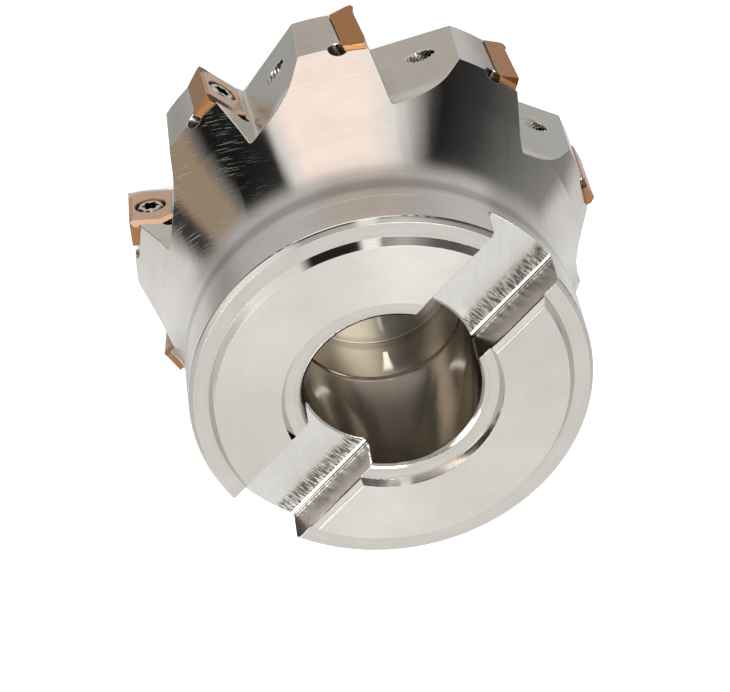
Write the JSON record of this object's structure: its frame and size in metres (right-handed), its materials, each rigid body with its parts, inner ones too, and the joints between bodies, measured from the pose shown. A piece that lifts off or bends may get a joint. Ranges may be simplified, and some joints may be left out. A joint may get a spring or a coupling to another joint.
{
  "type": "high feed milling cutter",
  "caption": "High feed face mill: a flared steel body with a ground rear face, bore and drive slot, and a ring of teeth that each clamp a double-sided carbide insert.",
  "frame": {"origin": "centre of the raised contact face on the cutter's axis, at the mouth of the drive slot", "axes": "+Z along the cutter's axis towards the spindle, +X along the drive slot"},
  "size_m": [0.0609, 0.061, 0.0445],
  "materials": {
    "body_steel": "turned, ground and milled, bright",
    "coated_carbide": "copper-coloured hard coating, satin",
    "screw_steel": "bright"
  },
  "bodies": {
    "root": {"cutter_body": "body_steel", "insert_1": "coated_carbide", "insert_2": "coated_carbide", "insert_3": "coated_carbide", "insert_4": "coated_carbide", "insert_5": "coated_carbide", "insert_6": "coated_carbide", "insert_7": "coated_carbide", "insert_8": "coated_carbide", "insert_9": "coated_carbide", "insert_screws": "screw_steel"}
  },
  "joints": []
}
